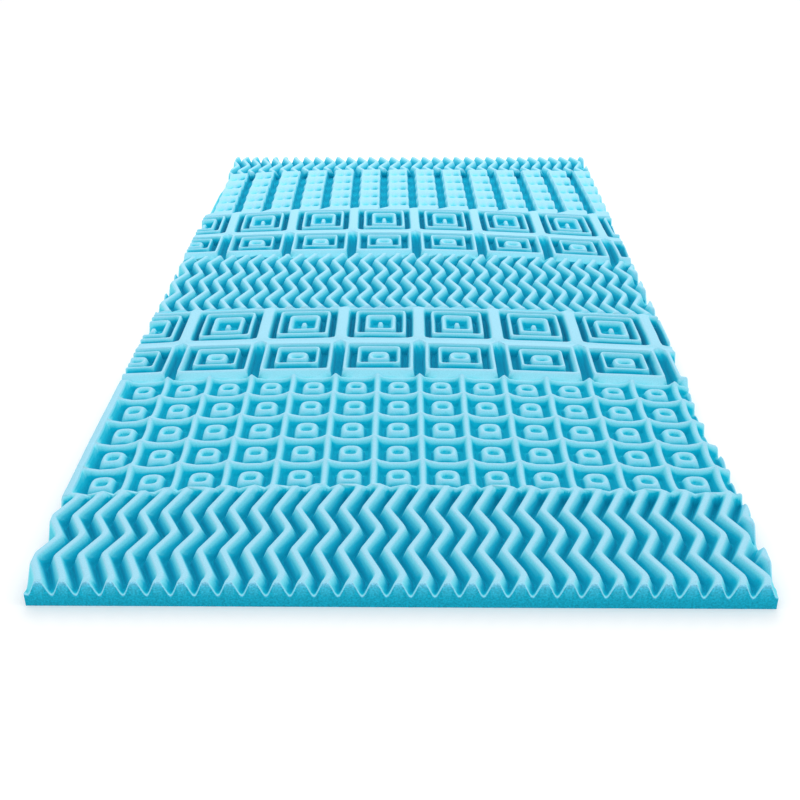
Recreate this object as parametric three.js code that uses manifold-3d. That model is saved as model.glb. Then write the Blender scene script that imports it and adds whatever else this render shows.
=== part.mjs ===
// A one-piece foam mattress topper with a profile-cut upper side, lying flat, foot end towards -Y.
// The underside and the four sides are plain cuts. The upper side has seven zones from foot to head:
// zigzag ridges, square cells, nested squares, zigzag, nested squares, dimpled bars, zigzag.

import * as THREE from 'three';
import { mergeVertices } from 'three/addons/utils/BufferGeometryUtils.js';
import Module from 'manifold-3d';

// Driving dimensions, in millimetres.
const width = 1000;
const length = 2000;
const thickness = 42;
const base = 20; // solid foam left under the deepest valleys
const cell = 73.7; // pitch of the square cells, and the unit of every pattern size below
const margin = 30; // how far the uncut sheet reaches below the underside and above the top

// The uncut pattern, in cells: across from left to right, along from foot to head.
// A rise runs from 0 on the valley floor to 1 on the crests.
const halfSheet = 8; // the uncut sheet reaches this far to both sides of its middle column
const middle = 5.41; // the place along the pattern that lies at mid-length

// How the pattern lies on the cut slab. It leans a little, narrows towards the head,
// and its rows droop towards the foot at both sides.
const lean = 0.0158; // cells to the left for each cell along
const offset = 0.36; // cells to the right at along 0
const narrowing = 0.0013; // part of the column pitch lost for each cell along
const bends = [
  { along: -8, left: 0.22, right: 0.05, shift: 0, stretch: 0 },
  { along: -6.5, left: 0.25, right: 0.2, shift: 0, stretch: 0 },
  { along: -5.2, left: 0.34, right: 0.24, shift: 0, stretch: 0.012 },
  { along: -2.5, left: 0.3, right: 0.28, shift: 0, stretch: 0.012 },
  { along: -1.5, left: 0.3, right: 0.36, shift: 0.01, stretch: 0.012 },
  { along: 1, left: 0.27, right: 0.43, shift: 0.03, stretch: 0.012 },
  { along: 3.1, left: 0.37, right: 0.5, shift: 0.055, stretch: 0.016 },
  { along: 6.2, left: 0.26, right: 0.48, shift: 0.08, stretch: 0.018 },
  { along: 9.3, left: 0.3, right: 0.72, shift: 0.1, stretch: 0.02 },
  { along: 11.5, left: 0.53, right: 0.72, shift: 0.075, stretch: 0.023 },
  { along: 13.5, left: 0.65, right: 0.56, shift: 0.05, stretch: 0.027 },
  { along: 15.5, left: 0.76, right: 0.42, shift: 0.035, stretch: 0.027 },
  { along: 17.8, left: 0.5, right: 0.1, shift: 0.02, stretch: 0.02 },
  { along: 20, left: 0.4, right: 0, shift: 0, stretch: 0.02 },
];

// Zigzag ridges: the cross section over one pitch, and for each zone the pitch, where a ridge's
// mean line starts across, and the places along where the ridges turn.
const swing = 0.155; // how far a turn lies from the mean line
const ridgeSection = [
  { at: -0.13, rise: 1 },
  { at: 0.13, rise: 1 },
  { at: 0.5, rise: 0 },
];
const footRidges = {
  pitch: 0.4265,
  start: 0.285,
  turns: [
    { along: -9.35, side: 1 },
    { along: -8.65, side: -1 },
    { along: -7.9, side: 1 },
    { along: -7.15, side: -1 },
    { along: -6.46, side: 1 },
    { along: -5.77, side: -1 },
    { along: -5.02, side: 1 },
  ],
};
const waistRidges = {
  pitch: 0.419,
  start: 0.185,
  turns: [
    { along: 4.28, side: 0.7 },
    { along: 4.82, side: -1 },
    { along: 5.54, side: 1 },
    { along: 6.27, side: -1 },
    { along: 6.97, side: 1 },
    { along: 7.72, side: -1 },
    { along: 8.26, side: 0.6 },
  ],
};
const headRidges = {
  pitch: 0.416,
  start: 0.235,
  turns: [
    { along: 17.31, side: 0.2 },
    { along: 17.64, side: -1 },
    { along: 18.34, side: 1 },
    { along: 19.06, side: -1 },
    { along: 19.79, side: 1 },
    { along: 20.54, side: -1 },
  ],
};

// Square cells: a wall round each, and a dimpled block in its moat. Each ring is given by its half
// width and by how far its foot and head sides lie in from the edges of its row.
const cellRows = [
  { foot: -4.93, head: -3.93 },
  { foot: -3.93, head: -2.93 },
  { foot: -2.93, head: -1.9 },
  { foot: -1.9, head: -0.86 },
  { foot: -0.86, head: 0.08 },
];
const cellRim = { corner: 1, foot: 0.64, side: 0.64, head: 0.64, sideAt: 0.5 };
const firstCellRim = { ...cellRim, foot: 0.85 };
const lastCellRim = { ...cellRim, head: 0.55 };
const cellRings = [
  { half: 0.38, inFoot: 0.12, inHead: 0.12, rise: 0 },
  { half: 0.28, inFoot: 0.22, inHead: 0.22, rise: 0.05 },
  { half: 0.21, inFoot: 0.29, inHead: 0.29, rise: 0.68 },
];
const cellDimple = 0.3;

// Nested squares, two columns wide. A raised row stands between channels, and the row behind it
// is its inverse, sunk between posts.
const raisedRim = { corner: 0, headCorner: 0.95, foot: 0.3, side: 0, head: 0.9, sideAt: 0.6 };
const raisedRings = [
  { half: 0.81, inFoot: 0.23, inHead: 0.3, rise: 1, round: 0.95 },
  { half: 0.66, inFoot: 0.38, inHead: 0.43, rise: 0.1, round: 0.95 },
  { half: 0.5, inFoot: 0.57, inHead: 0.53, rise: 0.95, round: 0.95 },
  { half: 0.35, inFoot: 0.69, inHead: 0.68, rise: 0.12 },
  { half: 0.21, inFoot: 0.82, inHead: 0.84, rise: 0.93 },
];
const raisedDimple = 0.6;
const sunkRim = { corner: 0.95, foot: 0.9, side: 1, head: 0.9, sideAt: 0.5 };
const sunkRings = [
  { half: 0.87, inFoot: 0.09, inHead: 0.1, rise: 1, round: 0.97 },
  { half: 0.78, inFoot: 0.2, inHead: 0.2, rise: 0, round: 0.95 },
  { half: 0.63, inFoot: 0.32, inHead: 0.34, rise: 0.9, round: 0.93 },
  { half: 0.48, inFoot: 0.46, inHead: 0.5, rise: 0.15, round: 0.93 },
  { half: 0.33, inFoot: 0.6, inHead: 0.66, rise: 0.9 },
  { half: 0.18, inFoot: 0.76, inHead: 0.82, rise: 0.3 },
];
const sunkPeak = 0.87;
const nestedRows = [
  { foot: 0.12, head: 2.12, raised: true },
  { foot: 2.12, head: 4.2, raised: false },
  { foot: 8.45, head: 10.5, raised: true },
  { foot: 10.5, head: 12.74, raised: false },
];

// Dimpled bars between straight channels: two dimples side by side in each of the rows.
const barFoot = 12.87;
const barHead = 17.25;
const barRows = 5;
const barEdge = 0.11; // from the middle of a channel to the edge of the bar's top
const barTop = 0.95;
const barDimples = [
  { from: 0.11, to: 0.56, rise: 0.75 },
  { from: 0.56, to: 0.89, rise: 0.45 },
];
const dimpleInset = 0.07; // from the dimple's rectangle to its rim, across
const dimpleInsetAlong = 0.24;

// The surface is gathered as triangles of points: x is across, y is along, z is the rise.
const surface = [];
const point = (across, along, rise) => new THREE.Vector3(across, along, rise);
const step = (at, place) => ({ at, place });

// Fill the strip between two chains that run the same way, the second on the left of the first.
function stitch(first, second) {
  let i = 0;
  let j = 0;
  while (i < first.length - 1 || j < second.length - 1) {
    const nextFirst = i < first.length - 1 ? first[i + 1].at : Infinity;
    const nextSecond = j < second.length - 1 ? second[j + 1].at : Infinity;
    if (nextFirst <= nextSecond) {
      surface.push([first[i].place, first[i + 1].place, second[j].place]);
      i += 1;
    } else {
      surface.push([first[i].place, second[j + 1].place, second[j].place]);
      j += 1;
    }
  }
}

// A closed chain round a rectangle, from its left foot corner and counterclockwise.
// Square rings have the four corners alone, and round ones have the middles of their sides too.
function ring({ left, right, foot, head, rise, round }) {
  const across = (left + right) / 2;
  const along = (foot + head) / 2;
  const pull = round ?? 1;
  const corner = (x, y) => point(across + (x - across) * pull, along + (y - along) * pull, rise);
  const chain = [
    step(0, corner(left, foot)),
    step(0.25, corner(right, foot)),
    step(0.5, corner(right, head)),
    step(0.75, corner(left, head)),
    step(1, corner(left, foot)),
  ];
  if (round !== undefined) {
    chain.splice(1, 0, step(0.125, point(across, foot, rise)));
    chain.splice(3, 0, step(0.375, point(right, along, rise)));
    chain.splice(5, 0, step(0.625, point(across, head, rise)));
    chain.splice(7, 0, step(0.875, point(left, along, rise)));
  }
  return chain;
}

// The outermost ring of a unit, which its neighbours share, with a rise for each of its places.
function rimRing(left, right, foot, head, rim) {
  const across = (left + right) / 2;
  const sideAlong = foot + (head - foot) * rim.sideAt;
  const headCorner = rim.headCorner ?? rim.corner;
  return [
    step(0, point(left, foot, rim.corner)),
    step(0.125, point(across, foot, rim.foot)),
    step(0.25, point(right, foot, rim.corner)),
    step(0.375, point(right, sideAlong, rim.side)),
    step(0.5, point(right, head, headCorner)),
    step(0.625, point(across, head, rim.head)),
    step(0.75, point(left, head, headCorner)),
    step(0.875, point(left, sideAlong, rim.side)),
    step(1, point(left, foot, rim.corner)),
  ];
}

// Nest rings inside an outer one, and close the last of them to a point at its middle.
function nest(outer, rings, centreRise) {
  let chain = outer;
  for (const inner of rings) {
    const next = ring(inner);
    stitch(chain, next);
    chain = next;
  }
  const last = rings[rings.length - 1];
  const centre = point((last.left + last.right) / 2, (last.foot + last.head) / 2, centreRise);
  stitch(chain, [step(1, centre)]);
}

// A row of like units across the sheet. Returns its foot and head edges as chains.
function unitRow({ foot, head }, unitWidth, firstMiddle, rim, rings, centreRise) {
  const footEdge = [];
  const headEdge = [];
  const lastMiddle = halfSheet - unitWidth / 2;
  for (let across = firstMiddle; across <= lastMiddle; across += unitWidth) {
    const left = across - unitWidth / 2;
    const right = across + unitWidth / 2;
    const outer = rimRing(left, right, foot, head, rim);
    const inner = rings.map(({ half, inFoot, inHead, rise, round }) => ({
      left: across - half,
      right: across + half,
      foot: foot + inFoot,
      head: head - inHead,
      rise,
      round,
    }));
    nest(outer, inner, centreRise);
    const isLast = across === lastMiddle;
    footEdge.push(...outer.slice(0, isLast ? 3 : 2).map(({ place }) => step(place.x, place)));
    headEdge.push(...outer.slice(isLast ? 4 : 5, 7).reverse().map(({ place }) => step(place.x, place)));
  }
  return { footEdge, headEdge };
}

function cellZone() {
  const firstMiddle = 0.5 - halfSheet;
  const rows = cellRows.map((row, k) => {
    const rims = { 0: firstCellRim, [cellRows.length - 1]: lastCellRim };
    return unitRow(row, 1, firstMiddle, rims[k] ?? cellRim, cellRings, cellDimple);
  });
  return { footEdge: rows[0].footEdge, headEdge: rows[rows.length - 1].headEdge };
}

function nestedZone(rows) {
  const firstMiddle = 1 - halfSheet;
  const built = rows.map((row) => (row.raised
    ? unitRow(row, 2, firstMiddle, raisedRim, raisedRings, raisedDimple)
    : unitRow(row, 2, firstMiddle, sunkRim, sunkRings, sunkPeak)));
  return { footEdge: built[0].footEdge, headEdge: built[1].headEdge };
}

// One chain across all the ridges, where they turn or end.
function ridgeChain({ along, side }, pitch, start) {
  const chain = [];
  const shift = start + swing * side;
  const first = Math.ceil((-halfSheet - shift) / pitch) - 1;
  const last = Math.floor((halfSheet - shift) / pitch) + 1;
  for (let ridge = first; ridge <= last; ridge += 1) {
    for (const { at, rise } of ridgeSection) {
      const across = shift + (ridge + at) * pitch;
      if (Math.abs(across) < halfSheet) chain.push(step(across, point(across, along, rise)));
    }
  }
  const ends = [-halfSheet, halfSheet].map((across) => step(across, point(across, along, 0)));
  return [ends[0], ...chain, ends[1]];
}

// Stitch two ridge chains flank by flank, so that no crease crosses a ridge.
function zigzagZone({ pitch, start, turns }) {
  const chains = turns.map((turn) => ridgeChain(turn, pitch, start));
  for (let k = 1; k < chains.length; k += 1) {
    const sway = swing * (turns[k].side - turns[k - 1].side);
    const moved = chains[k].map(({ at, place }, i, all) => {
      const isEnd = i === 0 || i === all.length - 1;
      return step(isEnd ? at : at - sway, place);
    });
    stitch(chains[k - 1], moved);
  }
  return { footEdge: chains[0], headEdge: chains[chains.length - 1] };
}

// The bars' own chain at one place along: channel floor, left edge and right edge of each bar.
function barChain(along) {
  const chain = [];
  for (let channel = -halfSheet; channel <= halfSheet; channel += 1) {
    chain.push(step(channel, point(channel, along, 0)));
    if (channel < halfSheet) {
      for (const { from } of barDimples) {
        chain.push(step(channel + from, point(channel + from, along, barTop)));
      }
      chain.push(step(channel + 1 - barEdge, point(channel + 1 - barEdge, along, barTop)));
    }
  }
  return chain;
}

function barZone() {
  const rowLength = (barHead - barFoot) / barRows;
  for (let row = 0; row < barRows; row += 1) {
    const foot = barFoot + row * rowLength;
    const head = foot + rowLength;
    for (let channel = -halfSheet; channel < halfSheet; channel += 1) {
      for (const [near, far] of [[0, barEdge], [1 - barEdge, 1]]) {
        const riseNear = near === 0 ? 0 : barTop;
        const riseFar = near === 0 ? barTop : 0;
        stitch(
          [step(0, point(channel + near, foot, riseNear)), step(1, point(channel + far, foot, riseFar))],
          [step(0, point(channel + near, head, riseNear)), step(1, point(channel + far, head, riseFar))],
        );
      }
      for (const { from, to, rise } of barDimples) {
        const left = channel + from;
        const right = channel + to;
        const rim = {
          left: left + dimpleInset,
          right: right - dimpleInset,
          foot: foot + dimpleInsetAlong,
          head: head - dimpleInsetAlong,
          rise: barTop,
        };
        nest(ring({ left, right, foot, head, rise: barTop }), [rim], rise);
      }
    }
  }
  return { footEdge: barChain(barFoot), headEdge: barChain(barHead) };
}

// One column of the table of bends at a place along.
function bendAt(along, column) {
  const after = bends.findIndex((row) => row.along > along);
  if (after === 0) return bends[0][column];
  if (after < 0) return bends[bends.length - 1][column];
  const [a, b] = [bends[after - 1], bends[after]];
  return a[column] + (b[column] - a[column]) * (along - a.along) / (b.along - a.along);
}

// From pattern coordinates to millimetres on the slab.
function onSlab({ x: across, y: along, z: rise }) {
  const droop = across < 0
    ? bendAt(along, 'left') * (Math.max(0, -across - 1) / 5.5) ** 2
    : bendAt(along, 'right') * (across / 6) ** 1.4;
  const stretch = bendAt(along, 'stretch') * across * Math.max(0, 1 - (across / 7) ** 4);
  const column = across * (1 - narrowing * along) + offset - lean * along
    + bendAt(along, 'shift') + stretch;
  return new THREE.Vector3(
    cell * column,
    cell * (along - middle - droop),
    base + rise * (thickness - base),
  );
}

// A geometry of merged points from triangles of points.
function geometryOf(triangles) {
  const geometry = new THREE.BufferGeometry();
  const positions = triangles.flat().flatMap(({ x, y, z }) => [x, y, z]);
  geometry.setAttribute('position', new THREE.Float32BufferAttribute(positions, 3));
  return mergeVertices(geometry, 1e-3);
}

// Close an open sheet downwards: a wall under each free edge, and a bottom that meets at one point.
function closeBelow(sheet, bottom) {
  const { array } = sheet.index;
  const { position } = sheet.attributes;
  const edges = new Map();
  for (let t = 0; t < array.length; t += 3) {
    for (let k = 0; k < 3; k += 1) {
      const [a, b] = [array[t + k], array[t + (k + 1) % 3]];
      if (!edges.delete(`${b} ${a}`)) edges.set(`${a} ${b}`, [a, b]);
    }
  }
  const at = (index) => new THREE.Vector3().fromBufferAttribute(position, index);
  const below = (vertex) => new THREE.Vector3(vertex.x, vertex.y, bottom);
  const centre = new THREE.Vector3(0, 0, bottom);
  const closing = [];
  for (const [from, to] of edges.values()) {
    const [a, b] = [at(from), at(to)];
    closing.push([b, a, below(a)], [b, below(a), below(b)], [below(b), below(a), centre]);
  }
  const kept = [];
  for (let t = 0; t < array.length; t += 3) {
    kept.push([at(array[t]), at(array[t + 1]), at(array[t + 2])]);
  }
  return geometryOf([...kept, ...closing]);
}

function solidOf(wasm, geometry) {
  return new wasm.Manifold(new wasm.Mesh({
    numProp: 3,
    vertProperties: geometry.attributes.position.array,
    triVerts: new Uint32Array(geometry.index.array),
  }));
}

// The zones from foot to head, each stitched to the one before it.
function buildSurface() {
  const zones = [
    zigzagZone(footRidges),
    cellZone(),
    nestedZone(nestedRows.slice(0, 2)),
    zigzagZone(waistRidges),
    nestedZone(nestedRows.slice(2)),
    barZone(),
    zigzagZone(headRidges),
  ];
  for (let k = 1; k < zones.length; k += 1) stitch(zones[k - 1].headEdge, zones[k].footEdge);
}

// The foam slab: the patterned sheet, cut to the slab's width and length.
function foamSlab(wasm) {
  buildSurface();
  const sheet = geometryOf(surface.map((corners) => corners.map(onSlab)));
  const patterned = solidOf(wasm, closeBelow(sheet, -margin));
  const block = new THREE.BoxGeometry(width, length, thickness + margin);
  block.translate(0, 0, (thickness + margin) / 2);
  block.deleteAttribute('normal');
  block.deleteAttribute('uv');
  const cut = patterned.intersect(solidOf(wasm, mergeVertices(block))).getMesh();
  const geometry = new THREE.BufferGeometry();
  geometry.setAttribute('position', new THREE.BufferAttribute(cut.vertProperties, 3));
  geometry.setIndex(new THREE.BufferAttribute(cut.triVerts, 1));
  geometry.computeVertexNormals();
  return geometry;
}

const wasm = await Module();
wasm.setup();

const foam = new THREE.MeshStandardMaterial({ color: 0x6fcfea, roughness: 0.95, metalness: 0 });
const slab = new THREE.Mesh(foamSlab(wasm), foam);
slab.name = 'foam_slab';

const topper = new THREE.Group();
topper.add(slab);

export default topper;
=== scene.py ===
# %% [markdown]
# # A cooling foam mattress topper
#
# The object is one slab of soft foam, 1 m wide, 2 m long and 42 mm thick. Its underside and its four
# sides are plain knife cuts. Its upper side was cut by a profiling machine: zigzag ridges, square
# cells, nested squares and dimpled bars follow each other from the foot end to the head end.
#
# The imported CAD model is loaded first, because it fixes the place and the size of everything. It
# stays in the scene, and its slab is hidden at the end.

import math

import bmesh
import bpy
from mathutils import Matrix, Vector, noise
from mathutils.bvhtree import BVHTree


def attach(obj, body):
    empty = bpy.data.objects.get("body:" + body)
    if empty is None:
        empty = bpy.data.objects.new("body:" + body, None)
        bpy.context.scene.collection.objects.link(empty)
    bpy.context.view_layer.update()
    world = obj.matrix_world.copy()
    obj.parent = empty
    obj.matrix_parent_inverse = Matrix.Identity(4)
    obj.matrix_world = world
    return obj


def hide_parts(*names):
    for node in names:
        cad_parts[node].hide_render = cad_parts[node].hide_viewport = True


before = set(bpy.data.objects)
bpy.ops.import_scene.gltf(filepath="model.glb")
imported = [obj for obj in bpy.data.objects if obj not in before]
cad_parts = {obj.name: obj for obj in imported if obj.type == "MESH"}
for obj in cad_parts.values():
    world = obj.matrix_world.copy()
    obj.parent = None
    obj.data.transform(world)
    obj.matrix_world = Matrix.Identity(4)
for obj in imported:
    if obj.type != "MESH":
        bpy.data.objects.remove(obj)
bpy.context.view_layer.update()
MM = 0.001

# %% [markdown]
# The photograph looks down at the foot end from about 2 m away, with a normal lens. The camera was
# worked out from the straight cuts and the even pitch of the square cells, so it is placed by numbers
# instead of by eye. Depth of field stays off.

# %% The camera
camera_data = bpy.data.cameras.new("camera")
camera_data.sensor_width = 36
camera_data.lens = 50.63
camera = bpy.data.objects.new("camera", camera_data)
camera.location = (0.0168, -2.1806, 0.9316)
camera.rotation_euler = [math.radians(turn) for turn in (62.170, 0.189, 0.670)]
bpy.context.scene.collection.objects.link(camera)
bpy.context.scene.camera = camera
print("Camera height in mm:", round(camera.location.z / MM))

# %% [markdown]
# A product photograph on white needs a floor that is brighter than white paper, so that only the
# closest shadow is left. The light is a bright even room, one large soft box behind the head end, a
# low wide lamp in front, and one small lamp on the right that draws a few crisp lines.

# %% The floor and the light
bpy.ops.object.select_all(action="DESELECT")
bpy.ops.mesh.primitive_plane_add(size=40, location=(0, 0, 0))
floor = bpy.context.object
floor.name = "floor"

box_data = bpy.data.lights.new("soft_box", "AREA")
box_data.shape = "RECTANGLE"
box_data.size = 3.0
box_data.size_y = 1.6
box_data.energy = 30
box = bpy.data.objects.new("soft_box", box_data)
box.location = (0, 1.9, 2.2)
box.rotation_euler = Vector((0, -1.9, -2.2)).to_track_quat("-Z", "Y").to_euler()
bpy.context.scene.collection.objects.link(box)

for name, power, spread, way in (
    ("front_lamp", 0.3, 25, (-0.05, 0.93, -0.36)),
    ("side_lamp", 0.2, 6, (-0.83, 0.1, -0.6)),
):
    lamp_data = bpy.data.lights.new(name, "SUN")
    lamp_data.energy = power
    lamp_data.angle = math.radians(spread)
    lamp = bpy.data.objects.new(name, lamp_data)
    lamp.rotation_euler = Vector(way).to_track_quat("-Z", "Y").to_euler()
    bpy.context.scene.collection.objects.link(lamp)

world = bpy.data.worlds.new("studio")
world.use_nodes = True
world.node_tree.nodes["Background"].inputs["Color"].default_value = (1, 1, 1, 1)
world.node_tree.nodes["Background"].inputs["Strength"].default_value = 0.9
bpy.context.scene.world = world
bpy.context.scene.view_settings.view_transform = "Standard"
print("Soft box in watts:", box_data.energy)

# %% [markdown]
# Every size below is a real one. The pitch of the square cells is the unit of the pattern: a place on
# it is given across the sheet and along it, in cells, and a rise runs from 0 in the valleys to 1 on
# the crests.

# %% Sizes
WIDTH = 1000
LENGTH = 2000
THICKNESS = 42
BASE = 20
CELL = 73.7
MIDDLE = 5.41
BLUNT = 2.2
RIM = 3.6
print("Cells across the sheet:", round(WIDTH / CELL, 2))

# %% [markdown]
# The upper side is a net of small faces. Each zone has its own net that follows its own forms, which
# keeps a crest crisp where an even grid would step across it. A place that two faces share is made
# once. Two chains of places are joined by quads when they match, and zipped by triangles when not.

# %% The net and its helpers
places = []
faces = []
known = {}


def spot(across, along, rise):
    key = (round(across, 4), round(along, 4))
    if key not in known:
        known[key] = len(places)
        places.append((across, along, rise))
    return known[key]


def ease(part):
    part = min(1.0, max(0.0, part))
    return part * part * (3 - 2 * part)


def mix(first, second, part):
    return first + (second - first) * part


def join(first, second):
    for a, b, c, d in zip(first, first[1:], second[1:], second):
        faces.append((a, b, c, d))


def zip_up(first, second):
    i = 0
    j = 0
    while i < len(first) - 1 or j < len(second) - 1:
        after_first = places[first[i + 1]][0] if i < len(first) - 1 else 99
        after_second = places[second[j + 1]][0] if j < len(second) - 1 else 99
        if after_first <= after_second:
            faces.append((first[i], first[i + 1], second[j]))
            i += 1
        else:
            faces.append((first[i], second[j + 1], second[j]))
            j += 1


print("Helpers ready")

# %% [markdown]
# The ridges run from foot to head and turn left and right at even steps. Their section has a flat
# crest, straight steep sides and a narrow round valley. The turns are rounded, the right ones more
# than the left. Where the ridges run into a cross wall, their valleys climb to it.

# %% Zigzag ridges
RIDGE_PITCH = 0.4265
RIDGE_START = 0.285
SWING = 0.155
RIDGE_SIDE = [(0.07, 1.0), (0.12, 0.97), (0.16, 0.88), (0.24, 0.62), (0.33, 0.32), (0.41, 0.1), (0.46, 0.02)]
RIDGE_SECTION = (
    [(-0.5, 0.0)] + [(-part, rise) for part, rise in reversed(RIDGE_SIDE)] + RIDGE_SIDE
)
SEGMENT_STEPS = (0, 0.08, 0.2, 0.8, 0.92)
FOOT_TURNS = [(-9.35, 1), (-8.65, -1), (-7.9, 1), (-7.15, -1), (-6.46, 1), (-5.77, -1), (-5.02, 1)]
WAIST_TURNS = [(4.28, 0.7), (4.82, -1), (5.54, 1), (6.27, -1), (6.97, 1), (7.72, -1), (8.26, 0.6)]
HEAD_TURNS = [(17.31, 0.2), (17.64, -1), (18.34, 1), (19.06, -1), (19.79, 1), (20.54, -1)]


def side_at(turns, along):
    along = min(turns[-1][0], max(turns[0][0], along))
    for (foot, first), (head, second) in zip(turns, turns[1:]):
        if along <= head:
            return mix(first, second, (along - foot) / (head - foot))
    return turns[-1][1]


def soft_side(turns, along):
    reach = 0.075 + 0.03 * side_at(turns, along)
    if along - reach < turns[0][0] or along + reach > turns[-1][0]:
        return side_at(turns, along)
    return sum(side_at(turns, along + reach * k / 2) for k in range(-2, 3)) / 5


def ridge_chain(turns, along, climb, pitch, origin):
    shift = origin + SWING * soft_side(turns, along)
    chain = []
    for ridge in range(-19, 18):
        for part, rise in RIDGE_SECTION:
            wall = 0.7 + 0.3 * rise
            chain.append(spot(shift + (ridge + part) * pitch, along, mix(rise, wall, climb)))
    return chain


def zigzag(turns, foot, head, climbs, pitch=RIDGE_PITCH, origin=RIDGE_START):
    stops = []
    for (start, _), (end, _) in zip(turns, turns[1:]):
        stops += [mix(start, end, part) for part in SEGMENT_STEPS]
    stops = [(s, 0) for s in stops + [turns[-1][0]] if foot <= s <= head]
    stops = sorted(stops + list(climbs))
    chains = [ridge_chain(turns, along, climb, pitch, origin) for along, climb in stops]
    for first, second in zip(chains, chains[1:]):
        join(first, second)
    return chains[0], chains[-1]


foot_zigzag = zigzag(FOOT_TURNS, -8.6, -5.12, ((-5.08, 0.12), (-5.02, 0.6), (-4.98, 1)))
WAIST_CLIMBS = ((4.24, 1), (4.28, 0.6), (4.34, 0.12), (8.3, 0.15))
waist_zigzag = zigzag(WAIST_TURNS, 4.4, 8.2, WAIST_CLIMBS, 0.419, 0.185)
head_zigzag = zigzag(HEAD_TURNS, 17.44, 20.0, ((17.31, 0.3), (17.38, 0.1)), 0.416, 0.235)
print("Places in the ridges:", len(places))

# %% [markdown]
# Square cells and nested squares are rings in rings. A ring is a rectangle with round corners. It is
# given by its half width, its distance from the foot and head edges of its row, its corner radius and
# its rise, so a table of rings, read from the rim inwards, is the section of the form.

# %% Rings in rings
def ring_places(middle, foot, head, half, radius, fractions):
    left = middle - half
    right = middle + half
    sides = [
        ((left, foot), (1, 0), (0, 1), 2 * half),
        ((right, foot), (0, 1), (-1, 0), head - foot),
        ((right, head), (-1, 0), (0, -1), 2 * half),
        ((left, head), (0, -1), (1, 0), head - foot),
    ]
    rounded = []
    for side, (corner, way, inward, run) in enumerate(sides):
        for part in fractions:
            if part == 0:
                step = 0.293 * radius
                pull = 0.293 * radius
            else:
                gap = max(min(part, 1 - part) * run, 0.42 * radius)
                step = gap if part < 0.5 else run - gap
                short = max(0.0, radius - gap)
                pull = radius - math.sqrt(radius**2 - short**2)
            x = corner[0] + way[0] * step + inward[0] * pull
            y = corner[1] + way[1] * step + inward[1] * pull
            rounded.append((x, y, side, part))
    return rounded


def unit(middle, foot, head, fractions, rings, centre_rise):
    rim = None
    last = None
    for half, in_foot, in_head, radius, rise in rings:
        chain = []
        for x, y, side, part in ring_places(
            middle, foot + in_foot, head - in_head, half, radius, fractions
        ):
            level = rise(side, part) if callable(rise) else rise
            chain.append(spot(x, y, level))
        if last:
            join(last + last[:1], chain + chain[:1])
        else:
            rim = chain
        last = chain
    middle_y = (foot + in_foot + head - in_head) / 2
    centre = spot(middle, middle_y, centre_rise)
    for a, b in zip(last, last[1:] + last[:1]):
        faces.append((a, b, centre))
    return rim


def edges_of(rims, count):
    foot_edge = []
    head_edge = []
    for rim in rims:
        foot_edge += rim[: count + 1]
        head_edge += (rim[2 * count : 3 * count + 1])[::-1]
    return list(dict.fromkeys(foot_edge)), list(dict.fromkeys(head_edge))


print("Ring helpers ready")

# %% [markdown]
# A square cell is a low round block with a dimple, standing in a moat inside a wall. The walls are
# highest at their crossings and sag between them. The first wall meets the ridges, so it follows
# their crests. Along the left edge the foam stays high, as a plain border strip.

# %% Square cells
CELL_ROWS = [(-4.93, -3.93), (-3.93, -2.93), (-2.93, -1.9), (-1.9, -0.86), (-0.86, 0.08)]
CELL_FRACTIONS = (0, 0.12, 0.33, 0.67, 0.88)
WALL_SAG = 0.36
BLOCK = 0.68


def cell_rings(size, wall):
    table = [
        (0.5, 0, wall),
        (0.475, 0.02, lambda side, part: wall(side, part) - 0.02),
        (0.45, 0.03, lambda side, part: 0.84 * wall(side, part)),
        (0.41, 0.06, lambda side, part: 0.36 * wall(side, part)),
        (0.375, 0.08, 0.08),
        (0.345, 0.09, 0.0),
        (0.3, 0.1, 0.0),
        (0.275, 0.11, 0.12),
        (0.235, 0.12, BLOCK - 0.2),
        (0.212, 0.13, BLOCK - 0.07),
        (0.19, 0.13, BLOCK),
        (0.16, 0.12, BLOCK),
        (0.137, 0.11, BLOCK - 0.07),
        (0.105, 0.09, BLOCK - 0.27),
        (0.06, 0.06, BLOCK - 0.38),
    ]
    return [
        (half, (0.5 - half) * size, (0.5 - half) * size, radius, rise)
        for half, radius, rise in table
    ]


def sagging(part, sag, sharpness):
    return 1 - sag * (1 - abs(2 * part - 1) ** sharpness)


def plain_wall(side, part):
    return sagging(part, WALL_SAG, 2.4)


def last_wall(side, part):
    return sagging(part, 0.45, 5) if side == 2 else plain_wall(side, part)


def first_wall(middle):
    def wall(side, part):
        if side:
            return plain_wall(side, part)
        across = middle - 0.5 + part
        phase = ((across - RIDGE_START - SWING) / RIDGE_PITCH + 0.5) % 1 - 0.5
        post = ease(1 - min(part, 1 - part) / 0.12)
        return max(post, 0.7 + 0.3 * ease((0.42 - abs(phase)) / 0.3))

    return wall


def strip_wall(side, part):
    return 0.9 + 0.1 * ease(1 - min(part, 1 - part) / 0.3) if side == 1 else 0.9


cell_edges = []
for foot, head in CELL_ROWS:
    strip = [(0.5, 0, 0, 0, strip_wall), (0.3, 0.1, 0.1, 0, 0.88)]
    rims = [unit(-7.5, foot, head, CELL_FRACTIONS, strip, 0.88)]
    for column in range(-7, 7):
        wall = plain_wall
        if foot == -4.93:
            wall = first_wall(column + 0.5)
        if head == 0.08:
            wall = last_wall
        rings = cell_rings(head - foot, wall)
        rims.append(unit(column + 0.5, foot, head, CELL_FRACTIONS, rings, BLOCK - 0.41))
    cell_edges.append(edges_of(rims, 5))
print("Places after the cells:", len(places))

# %% [markdown]
# The nested squares are two cells wide. A raised row stands between deep channels, and the row
# behind it is its inverse, sunk between broad round posts, with a small peak in its middle.

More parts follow.
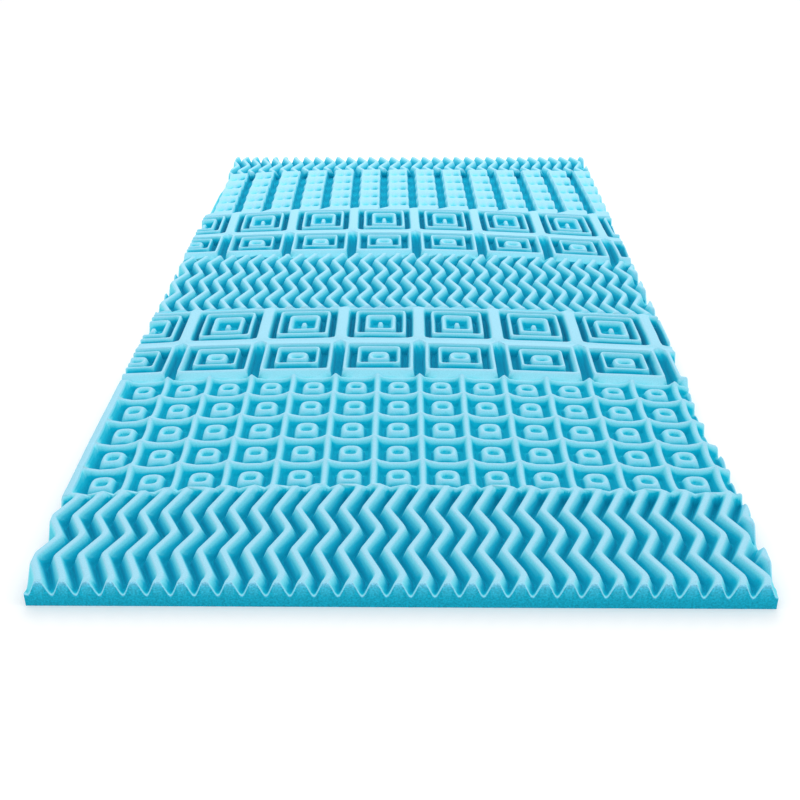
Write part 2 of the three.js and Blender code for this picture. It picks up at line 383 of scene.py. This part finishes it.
# %% Nested squares
NEST_FRACTIONS = (0, 0.08, 0.2, 0.4, 0.6, 0.8, 0.92)
NESTED_ROWS = [(0.12, 2.12, True), (2.12, 4.2, False), (8.45, 10.5, True), (10.5, 12.74, False)]


def edge_rise(foot, side_rise, head, foot_corner, head_corner):
    def rise(side, part):
        middle = (foot, side_rise, head, side_rise)[side]
        start = (foot_corner, foot_corner, head_corner, head_corner)[side]
        end = (foot_corner, head_corner, head_corner, foot_corner)[side]
        start_reach = 0.22 if side == 3 else 0.1
        end_reach = 0.22 if side == 1 else 0.1
        start_share = max(0.0, 1 - part / start_reach)
        end_share = max(0.0, 1 - (1 - part) / end_reach)
        return middle + (start - middle) * start_share + (end - middle) * end_share

    return rise


RAISED = [
    (1.0, 0.0, 0.0, 0.0, edge_rise(0.5, 0.0, 0.78, 0.0, 0.85)),
    (0.92, 0.054, 0.08, 0.0, edge_rise(0.62, 0.0, 0.84, 0.02, 0.88)),
    (0.895, 0.095, 0.13, 0.03, edge_rise(0.74, 0.135, 0.9, 0.25, 0.9)),
    (0.86, 0.149, 0.19, 0.05, edge_rise(0.87, 0.68, 0.95, 0.8, 0.93)),
    (0.84, 0.183, 0.24, 0.06, 0.96),
    (0.82, 0.21, 0.28, 0.06, 1.0),
    (0.79, 0.24, 0.31, 0.06, 1.0),
    (0.765, 0.27, 0.335, 0.06, 0.88),
    (0.72, 0.31, 0.38, 0.07, 0.34),
    (0.69, 0.345, 0.405, 0.08, 0.08),
    (0.61, 0.44, 0.45, 0.08, 0.05),
    (0.575, 0.48, 0.475, 0.08, 0.14),
    (0.55, 0.51, 0.49, 0.08, 0.45),
    (0.53, 0.535, 0.505, 0.08, 0.86),
    (0.515, 0.55, 0.52, 0.08, 0.98),
    (0.485, 0.58, 0.55, 0.08, 0.98),
    (0.46, 0.605, 0.575, 0.08, 0.86),
    (0.42, 0.64, 0.61, 0.09, 0.4),
    (0.39, 0.67, 0.65, 0.09, 0.12),
    (0.32, 0.72, 0.72, 0.1, 0.1),
    (0.28, 0.755, 0.77, 0.11, 0.42),
    (0.25, 0.78, 0.8, 0.12, 0.82),
    (0.225, 0.805, 0.825, 0.12, 0.94),
    (0.19, 0.835, 0.86, 0.11, 0.94),
    (0.15, 0.87, 0.9, 0.1, 0.82),
    (0.1, 0.91, 0.95, 0.07, 0.58),
]
SUNK = [
    (1.0, 0.0, 0.0, 0.0, edge_rise(0.78, 0.97, 0.8, 0.9, 0.95)),
    (0.9, 0.06, 0.07, 0.0, edge_rise(0.84, 1.0, 0.86, 0.94, 0.96)),
    (0.875, 0.09, 0.095, 0.06, edge_rise(0.86, 0.96, 0.88, 0.94, 0.94)),
    (0.85, 0.115, 0.125, 0.1, 0.8),
    (0.815, 0.15, 0.16, 0.13, 0.34),
    (0.785, 0.185, 0.19, 0.13, 0.06),
    (0.73, 0.235, 0.24, 0.11, 0.02),
    (0.7, 0.265, 0.27, 0.09, 0.16),
    (0.675, 0.285, 0.29, 0.08, 0.62),
    (0.655, 0.3, 0.305, 0.08, 0.92),
    (0.635, 0.315, 0.325, 0.08, 0.97),
    (0.605, 0.345, 0.355, 0.07, 0.97),
    (0.585, 0.365, 0.375, 0.07, 0.86),
    (0.55, 0.4, 0.41, 0.08, 0.4),
    (0.515, 0.435, 0.445, 0.09, 0.1),
    (0.445, 0.505, 0.52, 0.09, 0.15),
    (0.415, 0.54, 0.55, 0.09, 0.5),
    (0.39, 0.565, 0.575, 0.1, 0.88),
    (0.37, 0.585, 0.595, 0.1, 0.96),
    (0.335, 0.62, 0.63, 0.1, 0.96),
    (0.305, 0.65, 0.66, 0.1, 0.84),
    (0.265, 0.69, 0.7, 0.11, 0.5),
    (0.215, 0.74, 0.75, 0.11, 0.22),
    (0.13, 0.83, 0.84, 0.09, 0.18),
    (0.085, 0.89, 0.91, 0.07, 0.45),
    (0.045, 0.94, 0.95, 0.04, 0.76),
]
nest_edges = []
for foot, head, raised in NESTED_ROWS:
    rings = RAISED if raised else SUNK
    centre = 0.53 if raised else 0.87
    rims = [
        unit(middle, foot, head, NEST_FRACTIONS, rings, centre) for middle in range(-7, 9, 2)
    ]
    nest_edges.append(edges_of(rims, 7))
print("Places after the nested squares:", len(places))

# %% [markdown]
# Bars lie side by side between straight channels. Each has five pairs of dimples, a wide shallow one
# on the left and a narrow deeper one on the right, and swells a little between them.

# %% Dimpled bars
BAR_FOOT = 12.87
BAR_HEAD = 17.25
BAR_ROWS = 5
BAR_ACROSS = (
    0, 0.045, 0.07, 0.09, 0.11, 0.135, 0.19, 0.26, 0.33, 0.4, 0.47, 0.53, 0.58, 0.63, 0.685,
    0.74, 0.79, 0.84, 0.87, 0.89, 0.91, 0.93, 0.955,
)
BAR_ALONG = (0, 0.13, 0.26, 0.38, 0.5, 0.62, 0.74, 0.87)


def well(distance, reach):
    return ease(1 - abs(distance) / reach)


def bar_rise(across, part):
    swell = 0.02 * math.cos(2 * math.pi * part)
    wall = ease((min(across, 1 - across) - 0.08 + swell) / 0.1)
    rib = 0.03 * math.cos(2 * math.pi * part)
    left = 0.5 * well(across - 0.38, 0.2) * well(part - 0.5, 0.42)
    right = 0.9 * well(across - 0.67, 0.16) * well(part - 0.5, 0.38)
    return wall * (0.95 + rib - left - right)


def bar_chain(along, part):
    chain = []
    for bar in range(-8, 7):
        for across in BAR_ACROSS:
            chain.append(spot(bar + across, along, bar_rise(across, part)))
    return chain


bar_chains = []
row_length = (BAR_HEAD - BAR_FOOT) / BAR_ROWS
for row in range(BAR_ROWS):
    for part in BAR_ALONG:
        bar_chains.append(bar_chain(BAR_FOOT + (row + part) * row_length, part))
bar_chains.append(bar_chain(BAR_HEAD, 0))
for first, second in zip(bar_chains, bar_chains[1:]):
    join(first, second)
print("Places after the bars:", len(places))

# %% [markdown]
# The rows of each zone share their edges, and the zones are zipped to their neighbours. The pattern
# then goes onto the slab: it leans a little, narrows towards the head, and its rows droop towards the
# foot at both sides, as a soft sheet does when it is fed through the cutting machine.

# %% Join the zones and lay the pattern on the slab
zip_up(foot_zigzag[1], cell_edges[0][0])
zip_up(cell_edges[-1][1], nest_edges[0][0])
zip_up(nest_edges[1][1], waist_zigzag[0])
zip_up(waist_zigzag[1], nest_edges[2][0])
zip_up(nest_edges[3][1], bar_chains[0])
zip_up(bar_chains[-1], head_zigzag[0])

LEAN = 0.0158
OFFSET = 0.36
NARROWING = 0.0013
BENDS = [
    (-8, 0.22, 0.05, 0, 0),
    (-6.5, 0.25, 0.2, 0, 0),
    (-5.2, 0.34, 0.24, 0, 0.012),
    (-2.5, 0.3, 0.28, 0, 0.012),
    (-1.5, 0.3, 0.36, 0.01, 0.012),
    (1, 0.27, 0.43, 0.03, 0.012),
    (3.1, 0.37, 0.5, 0.055, 0.016),
    (6.2, 0.26, 0.48, 0.08, 0.018),
    (9.3, 0.3, 0.72, 0.1, 0.02),
    (11.5, 0.53, 0.72, 0.075, 0.023),
    (13.5, 0.65, 0.56, 0.05, 0.027),
    (15.5, 0.76, 0.42, 0.035, 0.027),
    (17.8, 0.5, 0.1, 0.02, 0.02),
    (20, 0.4, 0, 0, 0.02),
]


def bend_at(along, column):
    along = min(BENDS[-1][0], max(BENDS[0][0], along))
    for first, second in zip(BENDS, BENDS[1:]):
        if along <= second[0]:
            return mix(first[column], second[column], (along - first[0]) / (second[0] - first[0]))
    return BENDS[-1][column]


def on_slab(across, along, rise):
    if across < 0:
        droop = bend_at(along, 1) * (max(0.0, -across - 1) / 5.5) ** 2
    else:
        droop = bend_at(along, 2) * (across / 6) ** 1.4
    stretch = bend_at(along, 4) * across * max(0.0, 1 - (across / 7) ** 4)
    column = across * (1 - NARROWING * along) + OFFSET - LEAN * along + bend_at(along, 3) + stretch
    x = CELL * column
    y = CELL * (along - MIDDLE - droop)
    z = BASE + rise * (THICKNESS - BASE)
    wobble = noise.noise_vector(Vector((x / 45, y / 45, 0)))
    z += 0.6 * wobble.z
    x += side_shift(x, y)
    return Vector((x + 0.5 * wobble.x, y + 0.5 * wobble.y, min(z, THICKNESS))) * MM


# A hand-led knife wanders: the two long sides give way by a few millimetres here and there.
LEFT_CUT = [(-1000, 6), (-900, 5), (-820, 2), (-600, 0), (700, 0), (820, 8), (1000, 6)]
RIGHT_CUT = [(-1000, 7), (-900, 5), (-780, 1), (-660, 0), (-600, 7), (-500, 7), (-400, 1), (1000, 0)]


def side_shift(x, y):
    table = LEFT_CUT if x < 0 else RIGHT_CUT
    give = table[-1][1]
    y = min(table[-1][0], max(table[0][0], y))
    for (start, first), (end, second) in zip(table, table[1:]):
        if y <= end:
            give = mix(first, second, ease((y - start) / (end - start)))
            break
    share = min(1.0, max(0.0, (abs(x) - 350) / 150))
    return math.copysign(give * share, x)


sheet = bpy.data.meshes.new("foam_topper")
sheet.from_pydata([on_slab(*place) for place in places], [], faces)
sheet.update()
topper = bpy.data.objects.new("foam_topper", sheet)
bpy.context.scene.collection.objects.link(topper)
print("Faces of the sheet:", len(sheet.polygons))

# %% [markdown]
# The sheet is larger than the slab. It is cut to size on all four sides, and the cut edge is turned
# down to the floor: first a narrow blunt strip, because foam never keeps a knife edge, then a rim that
# follows the profile, then the plain side. One flat face closes the underside.

# %% Cut the sheet to the slab and close it
bpy.ops.object.select_all(action="DESELECT")
bpy.context.view_layer.objects.active = topper
topper.select_set(True)
bpy.ops.object.mode_set(mode="EDIT")
half_x = WIDTH / 2 * MM
half_y = LENGTH / 2 * MM
blunt = BLUNT * MM
for normal, place in (
    ((1, 0, 0), (half_x - blunt, 0, 0)),
    ((-1, 0, 0), (-half_x + blunt, 0, 0)),
    ((0, 1, 0), (0, half_y - blunt, 0)),
    ((0, -1, 0), (0, -half_y + blunt, 0)),
):
    bpy.ops.mesh.select_all(action="SELECT")
    bpy.ops.mesh.bisect(plane_co=place, plane_no=normal, clear_outer=True)

bpy.ops.mesh.select_mode(type="EDGE")
bpy.ops.mesh.select_all(action="DESELECT")
bpy.ops.mesh.select_non_manifold(
    extend=False, use_wire=False, use_boundary=True, use_multi_face=False,
    use_non_contiguous=False, use_verts=False,
)
bpy.ops.mesh.extrude_region_move(TRANSFORM_OT_translate={"value": (0, 0, -blunt)})
net = bmesh.from_edit_mesh(topper.data)
for vert in net.verts:
    if vert.select:
        if abs(vert.co.x) > half_x - 1.5 * blunt:
            vert.co.x = math.copysign(half_x, vert.co.x)
        if abs(vert.co.y) > half_y - 1.5 * blunt:
            vert.co.y = math.copysign(half_y, vert.co.y)
bmesh.update_edit_mesh(topper.data)
bpy.ops.mesh.extrude_region_move(TRANSFORM_OT_translate={"value": (0, 0, -RIM * MM)})
bpy.ops.mesh.extrude_region_move(TRANSFORM_OT_translate={"value": (0, 0, 0)})
net = bmesh.from_edit_mesh(topper.data)
for vert in net.verts:
    if vert.select:
        vert.co.z = 0
bmesh.update_edit_mesh(topper.data)
bpy.ops.mesh.edge_face_add()
bpy.ops.mesh.select_all(action="SELECT")
bpy.ops.mesh.normals_make_consistent(inside=False)
bpy.ops.object.mode_set(mode="OBJECT")
triangles = sum(len(face.vertices) - 2 for face in topper.data.polygons)
print("Triangles:", triangles)

# %% [markdown]
# The faces of the knife cut are told from the profiled ones by their place, before the two long sides
# are bent in to where the knife really went.

# %% Cut faces and wandering sides
knife_faces = []
for face in topper.data.polygons:
    at = face.center
    on_side = abs(at.x) > half_x - 0.1 * blunt or abs(at.y) > half_y - 0.1 * blunt
    if on_side or at.z < 1 * MM:
        knife_faces.append(face.index)
for vert in topper.data.vertices:
    vert.co.x -= side_shift(vert.co.x / MM, vert.co.y / MM) * MM
bpy.ops.object.shade_smooth_by_angle(angle=math.radians(42))
for index in knife_faces:
    topper.data.polygons[index].use_smooth = False
print("Knife-cut faces:", len(knife_faces))

# %% [markdown]
# Light that falls into a valley of dyed foam bounces between its walls and takes up colour at every
# bounce, so valleys look deep cyan and crests nearly white. Blender follows only a few bounces, so
# the depth is measured here instead and painted into the colour as light and shade: every place looks
# up in 24 directions, and the share that sees the open room is kept as an attribute. The material
# paints places that see little of the room darker and deeper cyan, as painted shade, and the crests
# nearly white, as painted light.

# %% How open each place is, for the painted light and shade
LOOKS = []
for height, count, weight in ((22, 8, 0.35), (48, 8, 0.5), (72, 8, 0.29)):
    for k in range(count):
        turn = 2 * math.pi * (k + height / 45) / count
        flat = math.cos(math.radians(height))
        way = Vector((flat * math.cos(turn), flat * math.sin(turn), math.sin(math.radians(height))))
        LOOKS.append((way, weight / count))
total = sum(weight for _, weight in LOOKS)
tree = BVHTree.FromPolygons(
    [vert.co for vert in topper.data.vertices],
    [tuple(face.vertices) for face in topper.data.polygons if len(face.vertices) < 9],
)
painted_light = []
for vert in topper.data.vertices:
    start = vert.co + vert.normal * 0.5 * MM
    seen = sum(weight for way, weight in LOOKS if tree.ray_cast(start, way, 90 * MM)[0] is None)
    painted_light.append(seen / total)
# On the knife cut the attribute holds painted light, not openness: a painted highlight along the top rim,
# and painted light that fades from the crest tips down to the floor.
cut_corners = {corner for index in knife_faces for corner in topper.data.polygons[index].vertices}
rim_height = {}
for corner in cut_corners:
    x, y, z = topper.data.vertices[corner].co / MM
    key = (round(x, 3), round(y, 3))
    rim_height[key] = max(z, rim_height.get(key, 0))
for corner in cut_corners:
    x, y, z = topper.data.vertices[corner].co / MM
    if rim_height[round(x, 3), round(y, 3)] - z < RIM / 2:
        painted_light[corner] = 0.95
    elif z > 1:
        painted_light[corner] = mix(0.25, 0.7, ease((z - 24) / 12))
    else:
        painted_light[corner] = 0.0
attribute = topper.data.attributes.new("painted_light", "FLOAT", "POINT")
attribute.data.foreach_set("value", painted_light)
print("Mean openness:", round(sum(painted_light) / len(painted_light), 3))

# %% [markdown]
# The material is open-cell polyurethane foam, dyed light blue and cut with a blade.

# %% Material helpers
def linear(code):
    values = [int(code[i : i + 2], 16) / 255 for i in (1, 3, 5)]
    return [v / 12.92 if v <= 0.04045 else ((v + 0.055) / 1.055) ** 2.4 for v in values] + [1]


def node(tree, kind, settings=None, links=None):
    made = tree.nodes.new(kind)
    for name, value in (settings or {}).items():
        if name in made.inputs:
            made.inputs[name].default_value = value
        else:
            setattr(made, name, value)
    for name, source in (links or {}).items():
        tree.links.new(source, made.inputs[name])
    return made


def ramp_stops(ramp, stops):
    while len(ramp.elements) < len(stops):
        ramp.elements.new(0.5)
    for element, (position, code) in zip(ramp.elements, stops):
        element.position = position
        element.color = linear(code)


print("Light blue:", [round(v, 3) for v in linear("#6FCFEA")])

# %% [markdown]
# Both sides of the foam share one recipe: a colour that changes along a measure, multiplied by a fine
# grain of open cells. The measure paints light and shade: on the profiled side it is how open a place
# is, painted as shade in the valleys and as light on the crests; on the knife cut it is painted light
# that falls from the rim down, where the thin rim and the crests let light through. The grain is
# coarser and stronger on the knife cut, since the blade opens whole pores. The pores are drawn about
# 2 mm wide, so that they show.

# %% Foam material
def foam_material(name, stops, grain_size, grain_low, grain_high):
    material = bpy.data.materials.new(name)
    material.use_nodes = True
    tree = material.node_tree
    shader = tree.nodes["Principled BSDF"]
    place = node(tree, "ShaderNodeTexCoord")
    reading = node(tree, "ShaderNodeAttribute", {"attribute_name": "painted_light"}).outputs["Fac"]
    ramp = node(tree, "ShaderNodeValToRGB", links={"Fac": reading})
    ramp_stops(ramp.color_ramp, stops)
    grain = node(
        tree, "ShaderNodeTexNoise",
        {"Scale": 1 / (grain_size * MM), "Detail": 3, "Roughness": 0.65},
        {"Vector": place.outputs["Object"]},
    )
    dots = node(
        tree, "ShaderNodeMapRange",
        {"From Min": 0.3, "From Max": 0.7, "To Min": grain_low, "To Max": grain_high},
        {"Value": grain.outputs["Fac"]},
    )
    colour = node(
        tree, "ShaderNodeMix", {"data_type": "RGBA", "blend_type": "MULTIPLY", "Factor": 1.0}
    )
    tree.links.new(ramp.outputs["Color"], colour.inputs[6])
    tree.links.new(dots.outputs["Result"], colour.inputs[7])
    tree.links.new(colour.outputs[2], shader.inputs["Base Color"])
    bump = node(
        tree, "ShaderNodeBump",
        {"Strength": 0.4, "Distance": 0.5 * MM},
        {"Height": grain.outputs["Fac"]},
    )
    tree.links.new(bump.outputs["Normal"], shader.inputs["Normal"])
    shader.inputs["Roughness"].default_value = 0.95
    shader.inputs["Specular IOR Level"].default_value = 0.05
    shader.inputs["Sheen Weight"].default_value = 0.03
    shader.inputs["Sheen Roughness"].default_value = 0.6
    return material


# Painted shade and light on the profiled side: deep cyan where a place sees little of the room, nearly white
# on the crests.
SKIN_STOPS = [
    (0.0, "#007096"), (0.3, "#008CB0"), (0.5, "#00A4C4"), (0.66, "#0CBCD8"),
    (0.79, "#6EDAEA"), (0.9, "#90E0F2"), (1.0, "#A0DAEE"),
]
# Painted light on the knife cut: teal low down, paler up to the painted highlight along the rim.
CUT_STOPS = [(0.0, "#0E98B4"), (0.3, "#129FBB"), (0.6, "#38AECA"), (0.85, "#80C6E0"), (1.0, "#98D0EA")]
skin = foam_material("polyurethane_foam_profiled", SKIN_STOPS, 2.0, 0.92, 1.06)
cut = foam_material("polyurethane_foam_knife_cut", CUT_STOPS, 2.8, 0.72, 1.3)
topper.data.materials.append(skin)
topper.data.materials.append(cut)
for index in knife_faces:
    topper.data.polygons[index].material_index = 1
print("Materials:", [slot.name for slot in topper.data.materials])

# %% [markdown]
# The floor is white seamless paper, lit from below a little, so that it reads as pure white.

# %% White paper
paper = bpy.data.materials.new("white_paper")
paper.use_nodes = True
paper_shader = paper.node_tree.nodes["Principled BSDF"]
paper_shader.inputs["Base Color"].default_value = (0.98, 0.98, 0.98, 1)
paper_shader.inputs["Roughness"].default_value = 0.9
paper_shader.inputs["Emission Color"].default_value = (1, 1, 1, 1)
paper_shader.inputs["Emission Strength"].default_value = 0.06
floor.data.materials.append(paper)
print("Paper glow:", paper_shader.inputs["Emission Strength"].default_value)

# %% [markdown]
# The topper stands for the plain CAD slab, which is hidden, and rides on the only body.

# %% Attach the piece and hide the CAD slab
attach(topper, "root")
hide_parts("foam_slab")
